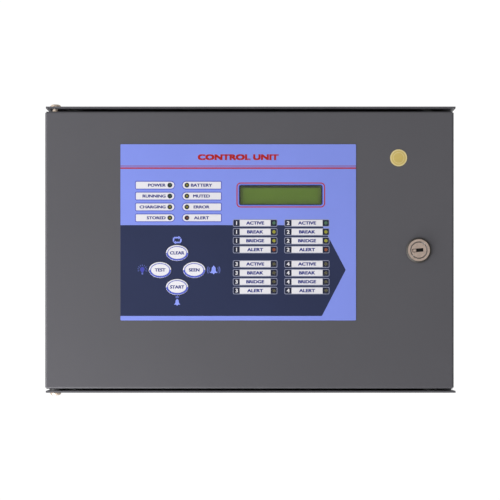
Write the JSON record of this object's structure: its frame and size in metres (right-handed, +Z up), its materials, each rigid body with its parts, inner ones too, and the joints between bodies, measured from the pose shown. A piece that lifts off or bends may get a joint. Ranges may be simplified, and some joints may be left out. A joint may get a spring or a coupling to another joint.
{
  "type": "fire alarm control panel",
  "caption": "Wall-mounted steel fire alarm control cabinet with a hinged, keyed door carrying a display, status lamps and oval keys.",
  "frame": {"origin": "centre of the cabinet's flat back face, which lies against the wall", "axes": "+X to the right of a person facing the door, +Y into the wall, +Z up"},
  "size_m": [0.3257, 0.0875, 0.2317],
  "materials": {
    "cabinet_paint": "dark grey powder coat, fine orange peel",
    "overlay_film": "printed polyester film, satin",
    "key_print": "white key caps with a blue ring",
    "display_glass": "yellow-green display cell",
    "display_bezel": "black lacquered steel",
    "circuit_board": "green solder mask",
    "lamp_green": "diffused epoxy lamp",
    "lamp_amber": "diffused epoxy lamp",
    "lamp_red": "diffused epoxy lamp",
    "nickel": "satin nickel plate",
    "zinc": "bright zinc plate",
    "brass_zinc": "yellow-passivated zinc plate",
    "gold_label": "gold paper label",
    "black_rubber": "moulded rubber",
    "black_plastic": "moulded plastic",
    "battery_case": "textured moulded plastic",
    "terminal_green": "moulded polyamide",
    "terminal_grey": "moulded polyamide",
    "relay_case": "blue moulded plastic",
    "capacitor_sleeve": "shrink sleeve",
    "aluminium": "extruded",
    "core_steel": "varnished laminations",
    "winding_tape": "yellow polyester tape",
    "fuse_glass": "glass tube with plated caps",
    "tin": "tinned brass",
    "red_insulation": "flexible pvc",
    "black_insulation": "flexible pvc",
    "blue_insulation": "flexible pvc",
    "earth_insulation": "flexible pvc, green and yellow",
    "ribbon_grey": "flat pvc cable with one red edge"
  },
  "bodies": {
    "cabinet": {"back_pan": "cabinet_paint", "batteries": "battery_case", "battery_lead_black": "black_insulation", "battery_lead_red": "red_insulation", "battery_link": "black_insulation", "battery_strap": "zinc", "battery_tabs": "tin", "board_chips": "black_plastic", "bottom_plate": "cabinet_paint", "bracket_screws": "zinc", "cable_grommets": "black_rubber", "door_buffers": "black_rubber", "earth_lead": "earth_insulation", "earth_stud": "zinc", "fuse_holders": "black_plastic", "glass_fuses": "fuse_glass", "heat_sink": "aluminium", "hinge_nuts": "zinc", "hinge_screws": "brass_zinc", "hinge_washer": "black_plastic", "main_board": "circuit_board", "main_board_screws": "zinc", "main_board_standoffs": "zinc", "main_ribbon_header": "black_plastic", "mains_terminal_block": "terminal_grey", "relays": "relay_case", "reservoir_capacitors": "capacitor_sleeve", "ribbon_cable": "ribbon_grey", "supply_terminal_blocks": "terminal_green", "terminal_blocks": "terminal_green", "top_plate": "cabinet_paint", "transformer_bracket": "zinc", "transformer_core": "core_steel", "transformer_leads": "blue_insulation", "transformer_winding": "winding_tape", "voltage_regulators": "black_plastic"},
    "door": {"door_panel": "cabinet_paint", "overlay": "overlay_film", "inspection_sticker": "gold_label", "lcd_bezel": "display_bezel", "lcd_cell": "display_glass", "lcd_board": "circuit_board", "display_board": "circuit_board", "display_board_studs": "zinc", "display_board_nuts": "zinc", "lamps_green": "lamp_green", "lamps_amber": "lamp_amber", "lamps_red": "lamp_red", "tact_switches": "black_plastic", "buzzer": "black_plastic", "door_ribbon_header": "black_plastic", "lock_body": "nickel", "lock_nut": "zinc"},
    "lock": {"lock_plug": "nickel", "lock_cam": "zinc", "cam_screw": "zinc"},
    "key_reset_body": {"key_reset": "key_print"},
    "key_lamp_body": {"key_lamp": "key_print"},
    "key_acknowledge_body": {"key_acknowledge": "key_print"},
    "key_alarm_body": {"key_alarm": "key_print"}
  },
  "joints": [
    {"name": "door_swing", "type": "hinge", "parent": "cabinet", "child": "door", "pos_m": [-0.1554, -0.079, 0], "axis": [0, 0, -1], "range_deg": [0, 110], "deforming": ["ribbon_cable", "earth_lead"]},
    {"name": "lock_turn", "type": "hinge", "parent": "door", "child": "lock", "pos_m": [0.1331, -0.0648, -0.0005], "axis": [0, 1, 0], "range_deg": [-90, 0]},
    {"name": "key_reset_press", "type": "slide", "parent": "door", "child": "key_reset_body", "axis": [0, 1, 0], "range_m": [0, 0.0005], "stiffness_N_per_m": 3000},
    {"name": "key_lamp_press", "type": "slide", "parent": "door", "child": "key_lamp_body", "axis": [0, 1, 0], "range_m": [0, 0.0005], "stiffness_N_per_m": 3000},
    {"name": "key_acknowledge_press", "type": "slide", "parent": "door", "child": "key_acknowledge_body", "axis": [0, 1, 0], "range_m": [0, 0.0005], "stiffness_N_per_m": 3000},
    {"name": "key_alarm_press", "type": "slide", "parent": "door", "child": "key_alarm_body", "axis": [0, 1, 0], "range_m": [0, 0.0005], "stiffness_N_per_m": 3000}
  ]
}
